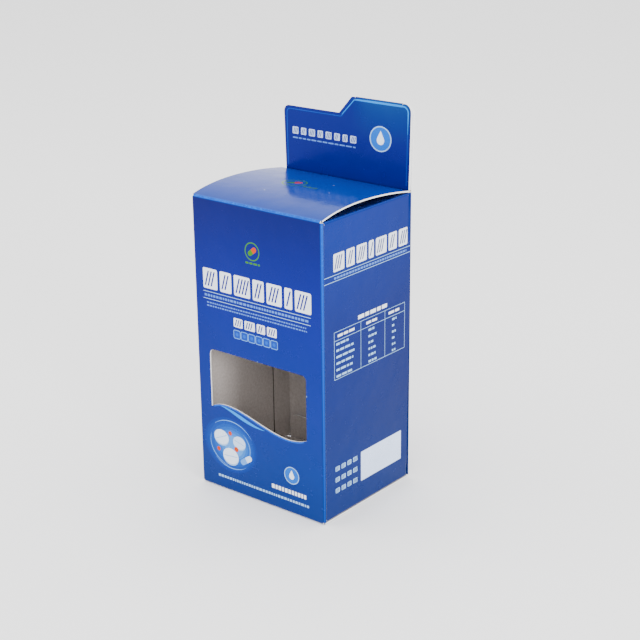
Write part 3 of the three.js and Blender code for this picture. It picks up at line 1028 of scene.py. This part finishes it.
carton_print = printed(
    "carton_print",
    [(0, (8, 44, 114)), (20, (10, 44, 122)), (45, (14, 38, 124)), (95, (14, 24, 124)), (131, (8, 16, 94)),
     (150, (6, 14, 92)), (169, (8, 24, 112)), (176, (12, 24, 112)), (204, (10, 18, 112))],
    # This row is painted shade, dipping beside the left-front and right-back corners
    [(0, 0.96), (60, 0.9), (76, 0.96), (100, 0.97), (128, 1.0), (150, 0.98), (188, 0.84), (192, 0.95),
     (230, 0.96), (269, 0.92)],
    216.0, 270.0, 0.8, (0.22, 0.3),
    [(0, (4, 36, 104)), (45, (2, 28, 100)), (85, (0, 26, 106)), (120, (0, 34, 122)), (131, (0, 34, 124))],
    ([(167, 0.0), (168.5, 0.7), (174, 0.35), (186, 0.0)],
     [(188, 0.8), (200, 1.0), (212, 0.8), (221, 0.0)], (2, 70, 132)),
)
lid_blue = printed(
    "lid_print", [(0, (2, 32, 124)), (14, (0, 60, 160)), (75, (0, 52, 146))],
    [(0, 1.0), (36, 1.0)], 80.0, 36.0, 0.8, (0.17, 0.24),
)
inside_board = plain_board("inside_board", (190, 182, 178), (172, 163, 158), 900.0, 0.82, 0.35)
cut_edge = plain_board("cut_edge", (246, 246, 244), (222, 222, 222), 2600.0, 0.9, 0.5)
# Dark board for the glue flap's edges: dried glue and painted shadow
glue_and_painted_shadow_edge = plain_board("glue_and_painted_shadow_edge", (92, 82, 76), (60, 52, 48), 1800.0, 0.7, 0.5)


# Pieces


def dress(obj, outside):
    for made in (outside, inside_board, cut_edge, glue_and_painted_shadow_edge):
        obj.data.materials.append(made)
    return obj


def at_front_fold(point):
    """Whether a point lies where the front panel goes over into a crease strip."""
    return on_front(point[0]) and (matches(point[1], CREASE_START) or matches(HEIGHT - point[1], CREASE_START))


carton = cut_and_fold(
    "carton_board", carton_outline(), [window_outline()], carton_lines(),
    [*front_print(), *side_print(), *header_print()], carton_fold, carton_crease, 4.0, (at_front_fold,),
)
dress(carton, carton_print)
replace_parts(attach(carton, "carton"), "carton")


def closure_board(name, closure, prints, body, node):
    """A closure's board, from its tuck flap to the strip that bends at the front fold."""
    edge = PANEL_SIDE + 1
    front_share = TOP_WEAR_AND_HIGHLIGHT if closure is top_closure else HIDDEN_WEAR_AND_HIGHLIGHT

    def front_ridge(v):
        start = closure.end + FOLD * CREASE_TO - CORNER
        return min(ridge(v, start, start + CORNER), 1 / front_share)

    rows = [*steps_between(*closure.crease), *np.arange(closure.crease[1] + 2.5, closure.end - 2, 2.5)]
    rows += steps_between(closure.front_fold, closure.end, 5)[:-2]
    board = cut_and_fold(
        name, closure.outline(), [], [across(-edge, edge, float(v)) for v in rows], prints, closure.fold,
        lambda u, v: max(HIDDEN_WEAR_AND_HIGHLIGHT * ridge(v, *closure.crease), front_share * front_ridge(v)), 5.0,
        (lambda point: matches(point[1], closure.end),),
    )
    dress(board, lid_blue)
    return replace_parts(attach(board, body), node)


closure_board("top_lid_board", top_closure, lid_print(), "top_lid", "top_lid")
closure_board("bottom_lid_board", bottom_closure, [], "bottom_lid", "bottom_lid")


def crease_strip(name, top):
    """The board that bends between the front panel and a closure."""
    centre_y, centre_z = FOLD - HALF_DEPTH, HEIGHT - FOLD

    def fold(u, v, depth):
        a = (v - centre_z) / FOLD
        y, z = centre_y - (FOLD - depth) * math.cos(a), centre_z + (FOLD - depth) * math.sin(a)
        return u - middle_u(0), y, z if top else HEIGHT - z

    def reversed_fold(u, v, depth):
        return fold(u, HEIGHT - v, depth)

    low, high = CREASE_START, centre_z + FOLD * CREASE_TO
    rows = [low + (high - low) * k / 10 for k in range(11)]
    if not top:
        rows = [HEIGHT - v for v in rows][::-1]
    outline = [(FRONT_START, rows[0]), (FRONT_END, rows[0]), (FRONT_END, rows[-1]), (FRONT_START, rows[-1])]
    strip = cut_and_fold(
        name, outline, [], [across(FRONT_START, FRONT_END, v) for v in rows[1:-1]], [],
        fold if top else reversed_fold, carton_crease, 2.0,
        (lambda point: matches(point[1], rows[0]), lambda point: matches(point[1], rows[-1])),
    )
    dress(strip, carton_print)
    ends = [fold(middle_u(0), v, 0.0) for v in (low, high)]
    [[c * MM for c in end] for end in ends]
    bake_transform(strip)


crease_strip("top_crease", True)
crease_strip("bottom_crease", False)


# Floor, light and camera

FLOOR_REACH, FLOOR_GAP = 6.0, 0.0002

floor_mesh = bpy.data.meshes.new("floor")
floor_corners = [(FLOOR_REACH * x, FLOOR_REACH * y, 0) for x, y in ((-1, -1), (1, -1), (1, 1), (-1, 1))]
floor_mesh.from_pydata(floor_corners, [], [(0, 1, 2, 3)])
floor = bpy.data.objects.new("floor", floor_mesh)
floor.location.z = -FLOOR_GAP
bpy.context.scene.collection.objects.link(floor)
pale, _, _, pale_shader = material("pale_floor")
pale_shader.inputs["Base Color"].default_value = (0.92, 0.92, 0.92, 1)
pale_shader.inputs["Roughness"].default_value = 0.7
floor_mesh.materials.append(pale)


def area_light(name, place, target, size, power):
    data = bpy.data.lights.new(name, "AREA")
    data.shape, data.size, data.energy = "SQUARE", size, power
    lamp = bpy.data.objects.new(name, data)
    lamp.location = place
    lamp.rotation_euler = (Vector(target) - Vector(place)).to_track_quat("-Z", "Y").to_euler()
    bpy.context.scene.collection.objects.link(lamp)


aim = (0, 0, 0.08)
area_light("key", (0.7, -0.9, 0.6), aim, 0.6, 5.0)
area_light("window", (1.0, -0.34, 0.3), (-0.03, -0.02, 0.05), 0.22, 6.0)
area_light("fill", (-0.9, -0.6, 0.5), aim, 0.9, 3.0)
area_light("overhead", (0.0, 0.1, 1.1), aim, 0.9, 6.0)

world = bpy.data.worlds.new("studio")
world.use_nodes = True
world.node_tree.nodes["Background"].inputs["Color"].default_value = (1, 1, 1, 1)
world.node_tree.nodes["Background"].inputs["Strength"].default_value = 2.1
bpy.context.scene.world = world

# The camera was fitted to the body's corners in the photo
azimuth, elevation, roll = math.radians(39.3189), math.radians(19.8370), math.radians(0.6448)
camera_place = Vector((0.37830, -0.45094, 0.28707))
to_camera = Vector((
    math.sin(azimuth) * math.cos(elevation), -math.cos(azimuth) * math.cos(elevation), math.sin(elevation)
))
level_right = (-to_camera).cross(Vector((0, 0, 1))).normalized()
level_down = (-to_camera).cross(level_right)
right = level_right * math.cos(roll) + level_down * math.sin(roll)
down = level_down * math.cos(roll) - level_right * math.sin(roll)
camera_data = bpy.data.cameras.new("camera")
camera_data.lens, camera_data.sensor_width, camera_data.shift_y = 81.82, 36.0, 0.0011
camera_data.clip_start = 0.05
camera = bpy.data.objects.new("camera", camera_data)
camera.matrix_world = Matrix((
    (right.x, -down.x, to_camera.x, camera_place.x),
    (right.y, -down.y, to_camera.y, camera_place.y),
    (right.z, -down.z, to_camera.z, camera_place.z),
    (0, 0, 0, 1),
))
bpy.context.scene.collection.objects.link(camera)
bpy.context.scene.camera = camera
